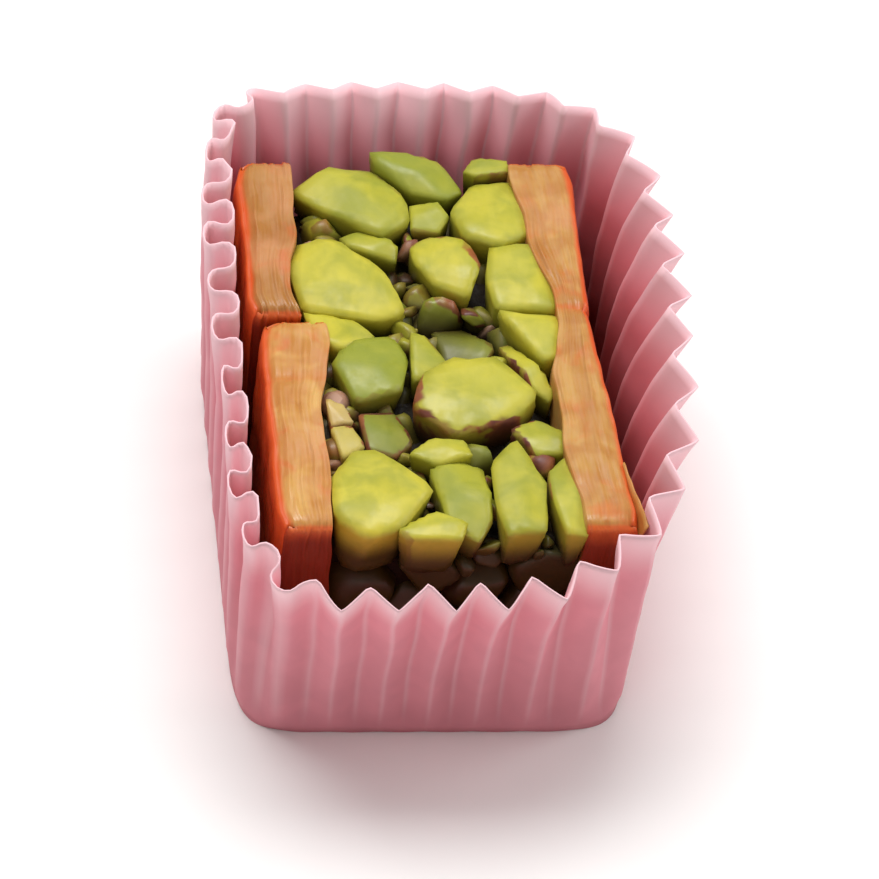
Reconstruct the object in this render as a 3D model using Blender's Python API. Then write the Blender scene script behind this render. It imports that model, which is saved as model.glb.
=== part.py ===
"""A bar of pistachio baklava lying on its side in a fluted pink paper case. Metres, +Z up.

X runs across the bar, from the glazed top crust on the left to the thin bottom crust on the right.
Y runs along the bar, and +Y is its back. The case stands on z = 0, with the origin under the middle
of the box that holds it. The knife that scored the tray went right through the top crust, which is
therefore two slabs, and only marked the bottom crust.
"""

import math
import random
from collections import namedtuple

import bmesh
import bpy
from mathutils import Vector, noise

MM = 0.001

# The bar, cut from the tray and turned on its side
BAR_LENGTH = 47.4 * MM
BAR_WIDTH = 31.4 * MM
BAR_HEIGHT = 24.0 * MM
CRUST_THICKNESS = 5.1 * MM
KNIFE_CUT = 3.2 * MM  # where the tray was scored across, from the bar's middle towards its back
FRONT_SLAB_SHIFT = 0.7 * MM  # the front half of the top crust has slipped towards the nuts
GAP = 0.3 * MM  # between pieces that touch
SPLAY = 2.4 * MM  # how far the bottom crust leans away from the nuts at its top front corner
SPLAY_FOOT = 0.2  # the share of that lean which it has at its foot

# The paper case
PAPER = 0.4 * MM
WALL_LENGTH = 26.5 * MM  # up the wall, along the paper
FLOOR_LEFT = 17.5 * MM
FLOOR_RIGHT = 18.8 * MM
FLOOR_DEPTH = 26.2 * MM
FLOOR_SQUARENESS = 9.0  # the exponent of the floor's superellipse
RIM_LEFT = 18.3 * MM
RIM_RIGHT = 23.7 * MM
RIM_BACK = 32.2 * MM
RIM_FRONT = 33.4 * MM
FLUTE_DEPTH = 2.4 * MM  # from an inner fold to an outer fold at the rim
FLUTE_START = 0.3  # the share of that depth which the folds have near the floor
FLARE_STRAIGHT = 0.25  # the share of the flare that is spread evenly up the wall
OUTLINE_STEPS = 240
WALL_HEIGHTS = (0.06, 0.2, 0.4, 0.6, 0.8, 1.0)  # rings up the wall, as shares of its length

# The quarters of the case in turn round it: which way each lies along X and Y, how many flutes it has,
# how much wider they are at the side than at the end, and the exponent of its rim's superellipse
Quarter = namedtuple("Quarter", "side end flutes spread squareness")
QUARTERS = (
    Quarter(1, 1, 10, 0.08, 3.6),
    Quarter(-1, 1, 9, 0.22, 6.0),
    Quarter(-1, -1, 8, 0.18, 6.0),
    Quarter(1, -1, 8, 0.2, 2.6),
)

# The case's box reaches further on its flared sides, so the bar sits left of and behind the origin
MIDDLE_X = (RIM_LEFT - RIM_RIGHT) / 2
MIDDLE_Y = (RIM_FRONT - RIM_BACK) / 2
BAR_FLOOR = PAPER + GAP
KNIFE_CUT_Y = MIDDLE_Y + KNIFE_CUT

# Relief of the crusts
BOW = 0.2 * MM
WAVE = 0.2 * MM
WAVE_SIZE = 7 * MM
EDGE_DROP = 0.5 * MM  # how far the outer top edge has sunk
END_PINCH = 0.35 * MM
END_DROP = 0.4 * MM
SCORE_DEPTH = 0.6 * MM
SCORE_NOTCH = 0.5 * MM  # where the score meets the outer face
SCORE_HALF_WIDTH = 0.35 * MM

# Relief of the nuts
NUT_SPACING = 5.4 * MM
NUT_JITTER = 1.7 * MM
CREVICE_DEPTH = 1.4 * MM
CREVICE_WIDTH = 2.4 * MM
NUT_TILT = 0.16
NUT_RISE = 0.5 * MM
FILLING_CELL = 1.15 * MM
CRUST_CELL = 2.4 * MM

PINK = (0.84, 0.43, 0.49)
CRUST_TOP = (0.62, 0.27, 0.07)
CRUST_BOTTOM = (0.60, 0.29, 0.09)
PISTACHIO = (0.55, 0.52, 0.11)


def clear_scene():
    for old in list(bpy.data.objects):
        bpy.data.objects.remove(old)


def smooth_step(low, high, value):
    share = min(1.0, max(0.0, (value - low) / (high - low)))
    return share * share * (3 - 2 * share)


def plain_material(name, colour, roughness):
    material = bpy.data.materials.new(name)
    material.use_nodes = True
    shader = material.node_tree.nodes["Principled BSDF"]
    shader.inputs["Base Color"].default_value = (*colour, 1)
    shader.inputs["Roughness"].default_value = roughness
    shader.inputs["Metallic"].default_value = 0
    return material


def add_object(name, mesh_data, material):
    """Turns a bmesh into a named object with its own material."""
    bmesh.ops.recalc_face_normals(mesh_data, faces=mesh_data.faces)
    mesh = bpy.data.meshes.new(name)
    mesh_data.to_mesh(mesh)
    mesh_data.free()
    mesh.materials.append(material)
    made = bpy.data.objects.new(name, mesh)
    bpy.context.scene.collection.objects.link(made)
    return made


def quarter_outline(half_width, half_depth, squareness):
    """A quarter of a superellipse from the X axis to the Y axis: points with their share of its length."""
    points = []
    for i in range(OUTLINE_STEPS + 1):
        angle = math.pi / 2 * i / OUTLINE_STEPS
        x = half_width * max(0.0, math.cos(angle)) ** (2 / squareness)
        y = half_depth * math.sin(angle) ** (2 / squareness)
        points.append(Vector((x, y)))
    lengths = [0.0]
    for before, after in zip(points, points[1:]):
        lengths.append(lengths[-1] + (after - before).length)
    return [(length / lengths[-1], point) for length, point in zip(lengths, points)]


def point_at(outline, share):
    """The point that lies this share of the way along a quarter outline."""
    for (low, before), (high, after) in zip(outline, outline[1:]):
        if share <= high:
            return before.lerp(after, (share - low) / (high - low))
    return outline[-1][1].copy()


def outward(point, half_width, half_depth, squareness):
    """The direction straight out of a superellipse at one of its points, in its first quarter."""
    x = (point.x / half_width) ** (squareness - 1) / half_width
    y = (point.y / half_depth) ** (squareness - 1) / half_depth
    return Vector((x, y)).normalized()


def fold_lines():
    """Every fold of the case in turn round it.

    Each is its foot, its place on the rim, the way out of the case, and 1 or -1 for an outer or inner fold.
    """
    folds = []
    for side, end, flutes, spread, squareness in QUARTERS:
        floor_half = FLOOR_RIGHT if side > 0 else FLOOR_LEFT
        rim_half = RIM_RIGHT if side > 0 else RIM_LEFT
        rim_depth = RIM_BACK if end > 0 else RIM_FRONT
        floor = quarter_outline(floor_half, FLOOR_DEPTH, FLOOR_SQUARENESS)
        rim = quarter_outline(rim_half, rim_depth, squareness)
        order = range(2 * flutes) if side * end > 0 else range(2 * flutes, 0, -1)
        for i in order:
            share = i / (2 * flutes)
            share *= 1 + spread * (1 - share)
            foot, top = point_at(floor, share), point_at(rim, share)
            way = outward(top, rim_half, rim_depth, squareness)
            turned = [Vector((side * p.x, end * p.y)) for p in (foot, top, way)]
            folds.append((*turned, 1 if i % 2 == 0 else -1))
    return folds


def wall_point(fold, height):
    """A point on a fold line, at a share of the paper's length up the wall."""
    foot, top, way, side = fold
    flare = FLARE_STRAIGHT * height + (1 - FLARE_STRAIGHT) * height**3
    reach = (top - foot).length
    rise = math.sqrt(WALL_LENGTH**2 - reach**2)
    lean = math.atan2(reach * (FLARE_STRAIGHT + 3 * (1 - FLARE_STRAIGHT) * height**2), rise)
    growth = FLUTE_START + (1 - FLUTE_START) * height
    fold_depth = side * FLUTE_DEPTH / 2 * growth * smooth_step(0, 0.2, height)
    flat = foot.lerp(top, flare) + way * fold_depth * math.cos(lean)
    return Vector((flat.x + MIDDLE_X, flat.y + MIDDLE_Y, rise * height - fold_depth * math.sin(lean)))


def make_paper_case():
    """The floor's outline drawn up ring by ring into fluted walls, then given the paper's thickness."""
    folds = fold_lines()
    case = bmesh.new()
    ring = bmesh.ops.create_circle(case, cap_ends=True, segments=len(folds), radius=1)["verts"]
    for vertex, fold in zip(ring, folds):
        vertex.co = (fold[0].x + MIDDLE_X, fold[0].y + MIDDLE_Y, 0)
    edges = [edge for edge in case.edges if edge.is_boundary]
    lower = dict(zip(ring, folds))
    for height in WALL_HEIGHTS:
        grown = bmesh.ops.extrude_edge_only(case, edges=edges)["geom"]
        edges = [item for item in grown if isinstance(item, bmesh.types.BMEdge) and item.is_boundary]
        upper = {}
        for vertex in {end for edge in edges for end in edge.verts}:
            below = next(e.other_vert(vertex) for e in vertex.link_edges if e.other_vert(vertex) in lower)
            upper[vertex] = lower[below]
        for vertex, fold in upper.items():
            vertex.co = wall_point(fold, height)
        lower = upper
    made = add_object("paper_case", case, plain_material("paper_case", PINK, 0.75))
    thickness = made.modifiers.new("Paper", "SOLIDIFY")
    thickness.thickness = PAPER
    thickness.offset = -1 if made.data.polygons[0].normal.z < 0 else 1
    return made


def block(low, high, cell):
    """A box from its low to its high corner, cut into cells of about this size along each axis."""
    made = bmesh.new()
    bmesh.ops.create_cube(made, size=1)
    size = high - low
    for vertex in made.verts:
        vertex.co = low + Vector([size[i] * (vertex.co[i] + 0.5) for i in range(3)])
    for axis in range(3):
        along = [e for e in made.edges if abs((e.verts[0].co - e.verts[1].co)[axis]) > size[axis] / 2]
        cuts = max(1, round(size[axis] / cell) - 1)
        bmesh.ops.subdivide_edges(made, edges=along, cuts=cuts, use_grid_fill=True)
    return made


def splay(place):
    """How far the bar is pushed towards +X at a place: nothing at the top crust, all at the bottom crust."""
    half_width = BAR_WIDTH / 2 - CRUST_THICKNESS
    across = min(1.0, max(0.0, (place.x - MIDDLE_X + half_width) / (2 * half_width)))
    forward = min(1.0, max(0.0, (KNIFE_CUT_Y - place.y) / (KNIFE_CUT + BAR_LENGTH / 2)))
    up = (place.z - BAR_FLOOR) / BAR_HEIGHT
    return SPLAY * across * forward * (SPLAY_FOOT + (1 - SPLAY_FOOT) * up)


def nut_seeds(low, high, draw):
    """Nut centres on a jittered grid over a face, each with its own tilt and height."""
    seeds = []
    for i in range(round((high[0] - low[0]) / NUT_SPACING) + 1):
        for j in range(round((high[1] - low[1]) / NUT_SPACING) + 1):
            centre = Vector((low[0] + i * NUT_SPACING, low[1] + j * NUT_SPACING))
            centre += Vector((draw.uniform(-NUT_JITTER, NUT_JITTER), draw.uniform(-NUT_JITTER, NUT_JITTER)))
            tilt = Vector((draw.uniform(-NUT_TILT, NUT_TILT), draw.uniform(-NUT_TILT, NUT_TILT)))
            seeds.append((centre, tilt, draw.uniform(-NUT_RISE, NUT_RISE)))
    return seeds


def nut_relief(across, along, seeds):
    """How far the heap stands out at a place on one of its faces: tilted tops with crevices between."""
    place = Vector((across, along))
    near = sorted(((place - seed[0]).length, n) for n, seed in enumerate(seeds))[:2]
    centre, tilt, rise = seeds[near[0][1]]
    crevice = 1 - smooth_step(0, CREVICE_WIDTH, near[1][0] - near[0][0])
    return rise + tilt.dot(place - centre) - CREVICE_DEPTH * crevice


def make_pistachio_filling():
    """The chopped nuts as one heap with an uneven top, front and back, and flat against the crusts."""
    half_width = BAR_WIDTH / 2 - CRUST_THICKNESS - GAP
    half_length = BAR_LENGTH / 2 - NUT_RISE
    low = Vector((MIDDLE_X - half_width + FRONT_SLAB_SHIFT, MIDDLE_Y - half_length, BAR_FLOOR))
    high = Vector((MIDDLE_X + half_width, MIDDLE_Y + half_length, BAR_FLOOR + BAR_HEIGHT - NUT_RISE))
    heap = block(low, high, FILLING_CELL)
    draw = random.Random(7)
    top = nut_seeds((low.x, low.y), (high.x, high.y), draw)
    front = nut_seeds((low.x, low.z), (high.x, high.z), draw)
    back = nut_seeds((low.x, low.z), (high.x, high.z), draw)
    for vertex in heap.verts:
        x, y, z = vertex.co
        upward = smooth_step(low.z, low.z + NUT_SPACING, z)
        near_top, near_front, near_back = (
            1 - smooth_step(0, NUT_SPACING, depth) for depth in (high.z - z, y - low.y, high.y - y)
        )
        vertex.co.z += nut_relief(x, y, top) * near_top
        vertex.co.y -= nut_relief(x, z, front) * near_front * upward
        vertex.co.y += nut_relief(x, z, back) * near_back * upward
        if abs(x - low.x) < MM / 10:
            vertex.co.x -= FRONT_SLAB_SHIFT * smooth_step(KNIFE_CUT_Y + GAP, KNIFE_CUT_Y + NUT_SPACING, y)
        vertex.co.x += splay(Vector((x, y, z)))
    return add_object("pistachio_filling", heap, plain_material("pistachio_filling", PISTACHIO, 0.35))


def make_crust(name, near_x, far_x, low_y, high_y, colour, scored=False):
    """A slab of baked phyllo, flat against the nuts at near_x, and slightly bowed and uneven outside."""
    low = Vector((min(near_x, far_x), low_y, BAR_FLOOR))
    high = Vector((max(near_x, far_x), high_y, BAR_FLOOR + BAR_HEIGHT))
    slab = block(low, high, CRUST_CELL)
    if scored:
        for offset in (-SCORE_HALF_WIDTH, 0.0, SCORE_HALF_WIDTH):
            cut = {"plane_co": (0, KNIFE_CUT_Y + offset, 0), "plane_no": (0, 1, 0)}
            bmesh.ops.bisect_plane(slab, geom=slab.verts[:] + slab.edges[:] + slab.faces[:], **cut)
    out = 1 if far_x > near_x else -1
    for vertex in slab.verts:
        x, y, z = vertex.co
        outer = abs(x - near_x) / abs(far_x - near_x)
        up = (z - low.z) / BAR_HEIGHT
        end = min(y - low.y, high.y - y)
        wave = WAVE * noise.noise(Vector((y, z, 3 * near_x)) / WAVE_SIZE)
        bow = BOW * math.sin(math.pi * up) - EDGE_DROP * smooth_step(0.85, 1, up)
        bow -= END_PINCH * (1 - smooth_step(0, 2.5 * MM, end))
        vertex.co.x += out * outer * (bow + wave)
        if up > 0.99:
            vertex.co.z += wave - EDGE_DROP * smooth_step(0.6, 1, outer)
            vertex.co.z -= END_DROP * (1 - smooth_step(0, 1.5 * MM, end))
        if scored and abs(y - KNIFE_CUT_Y) < SCORE_HALF_WIDTH / 2:
            vertex.co.z -= SCORE_DEPTH * smooth_step(0.9, 1, up)
            vertex.co.x -= out * SCORE_NOTCH * smooth_step(0.9, 1, outer) * smooth_step(0.6, 0.7, up)
        if out > 0:
            vertex.co.x += splay(Vector((far_x, y, z)))
    return add_object(name, slab, plain_material(name, colour, 0.5))


def make_crusts():
    left_out = MIDDLE_X - BAR_WIDTH / 2
    left_in = left_out + CRUST_THICKNESS
    right_out = MIDDLE_X + BAR_WIDTH / 2
    right_in = right_out - CRUST_THICKNESS
    front, back = MIDDLE_Y - BAR_LENGTH / 2, MIDDLE_Y + BAR_LENGTH / 2
    make_crust("left_crust_back", left_in, left_out, KNIFE_CUT_Y + GAP / 2, back, CRUST_TOP)
    slipped = FRONT_SLAB_SHIFT
    cut_end = KNIFE_CUT_Y - GAP / 2
    make_crust("left_crust_front", left_in + slipped, left_out + slipped, front, cut_end, CRUST_TOP)
    make_crust("right_crust", right_in, right_out, front, back, CRUST_BOTTOM, scored=True)


clear_scene()
make_paper_case()
make_pistachio_filling()
make_crusts()
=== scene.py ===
"""Dresses a bar of pistachio baklava in its fluted paper case. Metres, +Z up.

X runs across the bar from its top crust on the left to its bottom crust on the right, and +Y is its back.
"""

import math
import random
from collections import namedtuple

import bmesh
import bpy
from bpy.props import FloatProperty, FloatVectorProperty, IntProperty, PointerProperty
from mathutils import Euler, Matrix, Vector, noise


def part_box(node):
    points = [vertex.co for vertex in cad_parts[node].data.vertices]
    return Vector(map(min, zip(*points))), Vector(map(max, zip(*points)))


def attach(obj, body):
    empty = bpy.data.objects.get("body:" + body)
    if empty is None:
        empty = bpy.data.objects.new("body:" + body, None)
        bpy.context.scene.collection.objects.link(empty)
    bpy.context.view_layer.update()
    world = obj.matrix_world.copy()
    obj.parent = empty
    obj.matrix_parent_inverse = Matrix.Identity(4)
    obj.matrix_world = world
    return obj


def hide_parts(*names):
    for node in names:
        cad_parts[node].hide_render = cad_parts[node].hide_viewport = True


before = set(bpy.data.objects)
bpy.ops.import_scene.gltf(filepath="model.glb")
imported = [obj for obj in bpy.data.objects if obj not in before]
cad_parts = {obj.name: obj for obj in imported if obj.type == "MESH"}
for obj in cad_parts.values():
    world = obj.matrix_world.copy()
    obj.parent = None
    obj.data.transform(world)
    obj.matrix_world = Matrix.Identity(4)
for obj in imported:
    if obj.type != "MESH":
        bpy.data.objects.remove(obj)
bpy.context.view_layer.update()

bl_info = {
    "name": "Pistachio Baklava Bar",
    "version": (1, 0, 0),
    "blender": (4, 5, 0),
    "location": "3D View > Sidebar > Baklava",
    "description": "Makes the paper case, crusts, nuts and stage of a baklava bar",
    "category": "Object",
}

MM = 0.001

# Places read from the frame
HEAP_LOW, HEAP_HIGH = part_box("pistachio_filling")
LEFT_LOW, LEFT_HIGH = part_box("left_crust_front")
RIGHT_LOW, RIGHT_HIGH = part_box("right_crust")
BAR_FLOOR = RIGHT_LOW.z
BAR_TOP = RIGHT_HIGH.z - 0.2 * MM
BAR_FRONT, BAR_BACK = RIGHT_LOW.y, RIGHT_HIGH.y
MIDDLE_X = (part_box("left_crust_back")[1].x + RIGHT_LOW.x) / 2
MIDDLE_Y = (BAR_FRONT + BAR_BACK) / 2


def srgb(red, green, blue):
    """A colour given as 0 to 255 sRGB values, in the linear values that shaders take."""
    shares = (red / 255, green / 255, blue / 255)
    return tuple(c / 12.92 if c <= 0.04045 else ((c + 0.055) / 1.055) ** 2.4 for c in shares)


def smooth_step(low, high, value):
    share = min(1.0, max(0.0, (value - low) / (high - low)))
    return share * share * (3 - 2 * share)


def ripple(place, size, seed=0.0):
    """Smooth noise between -1 and 1 whose bumps are about this size."""
    return noise.noise(place / size + Vector((seed, 2.7 * seed, -1.3 * seed)))


# ---------------------------------------------------------------- settings


def colour_setting(name, description, value):
    return FloatVectorProperty(
        name=name, description=description, subtype="COLOR", size=3, min=0, max=1, default=srgb(*value)
    )


def length_setting(name, description, millimetres):
    return FloatProperty(
        name=name, description=description, unit="LENGTH", precision=5, default=millimetres * MM
    )


class CaseSettings(bpy.types.PropertyGroup):
    """The fluted paper case."""

    paper: colour_setting("Paper", "Dyed paper", (241, 154, 166))
    # Painted glow: the Rim colour is the paper lightened where light shows through it near the rim; the folds
    # are also lightened towards it.
    rim: colour_setting("Rim", "Dry paper near the rim, which lets more light through", (255, 210, 216))
    # Painted shade and syrup: the soaked colour darkens the paper low on the wall, partly syrup drawn up and
    # partly painted shade down in the case.
    soaked_and_shaded: colour_setting("Soaked paper", "Paper that has drawn up syrup", (124, 38, 34))
    thickness: length_setting("Thickness", "Thickness of the paper", 0.16)
    flute_depth: length_setting("Flute depth", "From an inner fold to an outer fold at the rim", 2.6)


class CrustSettings(bpy.types.PropertyGroup):
    """The slabs of baked phyllo."""

    leaf: length_setting("Leaf", "Thickness of one baked leaf with its syrup", 0.42)
    pale: colour_setting("Pale leaves", "Leaves inside the crust", (216, 168, 92))
    golden: colour_setting("Golden leaves", "Darker leaves and leaf edges", (184, 112, 40))
    rosy: colour_setting("Rosy leaves", "Patches where the leaves are thin", (208, 146, 96))
    baked: colour_setting("Baked face", "The outside, browned in the oven", (212, 86, 22))
    # Painted shade and syrup: the soaked colour darkens the cut ends below their top edge and the sides
    # further down, partly syrup and partly painted shade.
    soaked_and_shaded: colour_setting("Soaked crust", "Cut ends dark with syrup", (126, 40, 10))


class NutSettings(bpy.types.PropertyGroup):
    """The chopped pistachios."""

    pale: colour_setting("Pale kernel", "Cut kernel, yellow sort", (208, 196, 62))
    green: colour_setting("Green kernel", "Cut kernel, green sort", (150, 156, 44))
    edge: colour_setting("Kernel edge", "Green just under the skin", (118, 132, 40))
    skin: colour_setting("Skin", "Thin skin left on the kernels", (104, 52, 46))
    bright_skin: colour_setting("Bright skin", "Thinner skin with light in it", (164, 96, 50))
    cream: colour_setting("Cream", "Dry flakes of the kernels' inner skin", (206, 160, 132))
    # Painted shade: the deep colour darkens kernels with depth below the cut face, standing in for shade in
    # the gaps and on the cut ends, with some syrup.
    deep: colour_setting("Deep kernel", "Kernels soaked in syrup below the cut face", (48, 33, 8))
    # Painted shade: the near-black gap colour is partly syrup and fine crumbs and partly shade deep between
    # the kernels.
    gap: colour_setting("Gaps", "Syrup, crumbs and painted shade between the kernels", (28, 18, 5))
    seed: IntProperty(name="Seed", description="Chooses the filler nuts", default=5)


class StageSettings(bpy.types.PropertyGroup):
    """Floor, lights and camera."""

    floor: colour_setting("Floor", "Pale floor", (252, 251, 249))
    lens: FloatProperty(name="Lens", description="Focal length", unit="CAMERA", default=480)
    distance: length_setting("Distance", "From the camera to the bar", 1085)


SETTINGS = {
    "baklava_case": CaseSettings,
    "baklava_crust": CrustSettings,
    "baklava_nuts": NutSettings,
    "baklava_stage": StageSettings,
}


# ---------------------------------------------------------------- shader helpers


def add_node(tree, kind, inputs=None, **settings):
    """A new shader node with its settings, and its inputs given as values or as sockets to link."""
    node = tree.nodes.new(kind)
    for key, value in settings.items():
        setattr(node, key, value)
    for key, value in (inputs or {}).items():
        if isinstance(value, bpy.types.NodeSocket):
            tree.links.new(value, node.inputs[key])
        else:
            node.inputs[key].default_value = value
    return node


def colour(value):
    return (*value, 1)


def mix(tree, factor, first, second, blend="MIX"):
    """A blend of two colours, each a socket or a colour."""
    made = add_node(tree, "ShaderNodeMix", {"Factor": factor}, data_type="RGBA", blend_type=blend)
    for place, value in ((6, first), (7, second)):
        if isinstance(value, bpy.types.NodeSocket):
            tree.links.new(value, made.inputs[place])
        else:
            made.inputs[place].default_value = colour(value)
    return made.outputs[2]


def tint(tree, base, mask, strength, towards):
    """The base colour, pulled part of the way to another where a mask is set."""
    return mix(tree, calc(tree, "MULTIPLY", mask, strength), base, towards)


def calc(tree, operation, first, second=0.0, third=0.0, clamp=False):
    inputs = {0: first, 1: second, 2: third}
    return add_node(tree, "ShaderNodeMath", inputs, operation=operation, use_clamp=clamp).outputs[0]


def spread(tree, value, low, high, to_low=0.0, to_high=1.0):
    """A value taken smoothly from one range to another."""
    inputs = {"Value": value, "From Min": low, "From Max": high, "To Min": to_low, "To Max": to_high}
    return add_node(tree, "ShaderNodeMapRange", inputs, interpolation_type="SMOOTHSTEP").outputs[0]


def attribute(tree, name):
    return add_node(tree, "ShaderNodeAttribute", attribute_name=name).outputs["Fac"]


def object_place(tree, stretch=(1, 1, 1)):
    """The place on the object in metres, stretched along each axis."""
    place = add_node(tree, "ShaderNodeTexCoord").outputs["Object"]
    mapping = add_node(tree, "ShaderNodeMapping", {"Vector": place, "Scale": stretch})
    return mapping.outputs[0]


def depth_below(tree, level, near, far):
    """0 at and above the near depth below a level, rising smoothly to 1 at the far depth."""
    height = add_node(tree, "ShaderNodeSeparateXYZ", {0: object_place(tree)}).outputs["Z"]
    return spread(tree, height, level - far, level - near, 1.0, 0.0)


def noise_value(tree, place, scale, detail=2.0, roughness=0.5, distortion=0.0):
    inputs = {"Vector": place, "Scale": scale, "Detail": detail, "Roughness": roughness}
    inputs["Distortion"] = distortion
    return add_node(tree, "ShaderNodeTexNoise", inputs).outputs["Fac"]


def speckle(tree, place, size, detail=2.0, roughness=0.5):
    """Noise whose bumps have about this size in metres."""
    return noise_value(tree, place, 1 / size, detail, roughness)


def new_group(name, inputs, outputs):
    """An empty shader group with named float inputs and outputs."""
    group = bpy.data.node_groups.new(name, "ShaderNodeTree")
    for label, value in inputs.items():
        socket = group.interface.new_socket(label, in_out="INPUT", socket_type="NodeSocketFloat")
        socket.default_value = value
    for label in outputs:
        group.interface.new_socket(label, in_out="OUTPUT", socket_type="NodeSocketFloat")
    return group, group.nodes.new("NodeGroupInput"), group.nodes.new("NodeGroupOutput")


def made_once(name):
    """Lets a function that makes a shader group find the group again when it is already there."""
    return lambda build: lambda: bpy.data.node_groups.get(name) or build(name)


@made_once("Soft mottle")
def mottle_group(name):
    """Soft patches: a mask with blurred edges and a size in metres."""
    group, given, result = new_group(name, {"Size": 3 * MM, "Low": 0.4, "High": 0.6}, ["Mask"])
    scale = calc(group, "DIVIDE", 1.0, given.outputs["Size"])
    patches = noise_value(group, object_place(group), scale, 2.5, 0.55, 0.4)
    mask = spread(group, patches, given.outputs["Low"], given.outputs["High"])
    group.links.new(mask, result.inputs["Mask"])
    return group


@made_once("Syrup film")
def syrup_group(name):
    """Uneven syrup: patches of higher and lower gloss, and the faint relief of the film."""
    given_values = {"Size": 3 * MM, "Wet": 0.2, "Dry": 0.5}
    group, given, result = new_group(name, given_values, ["Roughness", "Height"])
    scale = calc(group, "DIVIDE", 1.0, given.outputs["Size"])
    place = object_place(group)
    patches = noise_value(group, place, scale, 3.0, 0.6)
    gloss = spread(group, patches, 0.38, 0.62, given.outputs["Wet"], given.outputs["Dry"])
    group.links.new(gloss, result.inputs["Roughness"])
    fine = speckle(group, place, 0.7 * MM, 3.0)
    group.links.new(fine, result.inputs["Height"])
    return group


@made_once("Phyllo leaves")
def leaf_group(name):
    """Baked leaves seen on edge: fine wavering lines that follow the crust, and broader darker bands."""
    group, given, result = new_group(name, {"Leaf": 0.42 * MM}, ["Lines", "Bands"])
    along = object_place(group, (1, 0.07, 0.07))
    waver = speckle(group, object_place(group), 9 * MM, 1.0)
    shift = add_node(group, "ShaderNodeCombineXYZ", {"X": calc(group, "MULTIPLY", waver, 1.6 * MM)})
    inputs = {0: along, 1: shift.outputs[0]}
    place = add_node(group, "ShaderNodeVectorMath", inputs, operation="ADD").outputs[0]
    scale = calc(group, "DIVIDE", 0.9, given.outputs["Leaf"])
    lines = noise_value(group, place, scale, 3.0, 0.65)
    group.links.new(spread(group, lines, 0.36, 0.64), result.inputs["Lines"])
    broad = calc(group, "DIVIDE", 0.22, given.outputs["Leaf"])
    bands = noise_value(group, place, broad, 1.0)
    group.links.new(spread(group, bands, 0.38, 0.66), result.inputs["Bands"])
    return group


def use_group(tree, group, **inputs):
    """Places a shader group in a tree."""
    node = add_node(tree, "ShaderNodeGroup", node_tree=group)
    for key, value in inputs.items():
        node.inputs[key].default_value = value
    return node


def mottle(tree, size, low, high):
    """A mask of soft patches, with the noise values at which a patch starts and is full."""
    return use_group(tree, mottle_group(), Size=size, Low=low, High=high).outputs["Mask"]


def new_material(name, shader_values):
    """A material with its Principled shader, and the values that are the same all over."""
    made = bpy.data.materials.new(name)
    made.use_nodes = True
    shader = made.node_tree.nodes["Principled BSDF"]
    for key, value in shader_values.items():
        shader.inputs[key].default_value = value
    return made, made.node_tree, shader


def feed(tree, shader, colour_socket, roughness=None, height=None, bump=0.1 * MM, strength=0.5):
    """Links colour, roughness and relief into a Principled shader."""
    tree.links.new(colour_socket, shader.inputs["Base Color"])
    if roughness:
        tree.links.new(roughness, shader.inputs["Roughness"])
    if height:
        inputs = {"Height": height, "Distance": bump, "Strength": strength}
        relief = add_node(tree, "ShaderNodeBump", inputs)
        tree.links.new(relief.outputs[0], shader.inputs["Normal"])


# ---------------------------------------------------------------- mesh helpers

ON_FACE = 0.01 * MM  # points nearer a face than this lie on it


def finish_piece(name, mesh_data, material, replaced=()):
    """Turns a bmesh into a named piece that rides with the bar."""
    mesh = bpy.data.meshes.new(name)
    mesh_data.to_mesh(mesh)
    mesh_data.free()
    mesh.materials.append(material)
    mesh.shade_smooth()
    piece = bpy.data.objects.new(name, mesh)
    bpy.context.scene.collection.objects.link(piece)
    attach(piece, "root")
    if replaced:
        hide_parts(*replaced)
    return piece


def block(low, high, cells):
    """A box cut into cells of about the given size along each axis."""
    made = bmesh.new()
    bmesh.ops.create_cube(made, size=1)
    size = high - low
    for vertex in made.verts:
        vertex.co = low + Vector([size[i] * (vertex.co[i] + 0.5) for i in range(3)])
    for axis in range(3):
        along = [e for e in made.edges if abs((e.verts[0].co - e.verts[1].co)[axis]) > size[axis] / 2]
        cuts = max(1, round(size[axis] / cells[axis]) - 1)
        bmesh.ops.subdivide_edges(made, edges=along, cuts=cuts, use_grid_fill=True)
    return made


# ---------------------------------------------------------------- paper case

FLOOR_LEFT = 17.5 * MM
FLOOR_RIGHT = 18.8 * MM
FLOOR_DEPTH = 26.2 * MM
FLOOR_SQUARENESS = 9.0
FLOOR_RINGS = (0.5, 0.75, 0.88, 0.94, 0.97, 0.985)  # as shares of the floor's size
RIM_LEFT = 18.2 * MM
RIM_RIGHT = 23.7 * MM
RIM_BACK = 32.2 * MM
RIM_FRONT = 33.4 * MM
WALL_LENGTH = 26.4 * MM
WALL_RINGS = 26
FLARE_STRAIGHT = 0.25
FLUTE_SAMPLES = 14
FLUTE_AT_FOOT = 0.26  # how deep the flutes are at the foot, as a share of their depth at the rim
SHARP_FOLD = 0.985  # 1 gives knife-sharp folds
ROUND_FOLD = 0.5
CURL = 0.75 * MM  # how far the loops of the pressed wall on the left bulge along it
CASE_X = (RIM_LEFT - RIM_RIGHT) / 2
CASE_Y = (RIM_FRONT - RIM_BACK) / 2

# The quarters of the case in turn round it: which way each lies, how many flutes it has, how much
# wider they are at the side than at the end, and how square its rim is
Quarter = namedtuple("Quarter", "side end flutes spread squareness")
QUARTERS = (
    Quarter(1, 1, 10, 0.08, 3.6),
    Quarter(-1, 1, 9, 0.22, 6.0),
    Quarter(-1, -1, 8, 0.18, 6.0),
    Quarter(1, -1, 8, 0.2, 2.6),
)
Fold = namedtuple("Fold", "foot rim out wave curl count")


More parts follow.
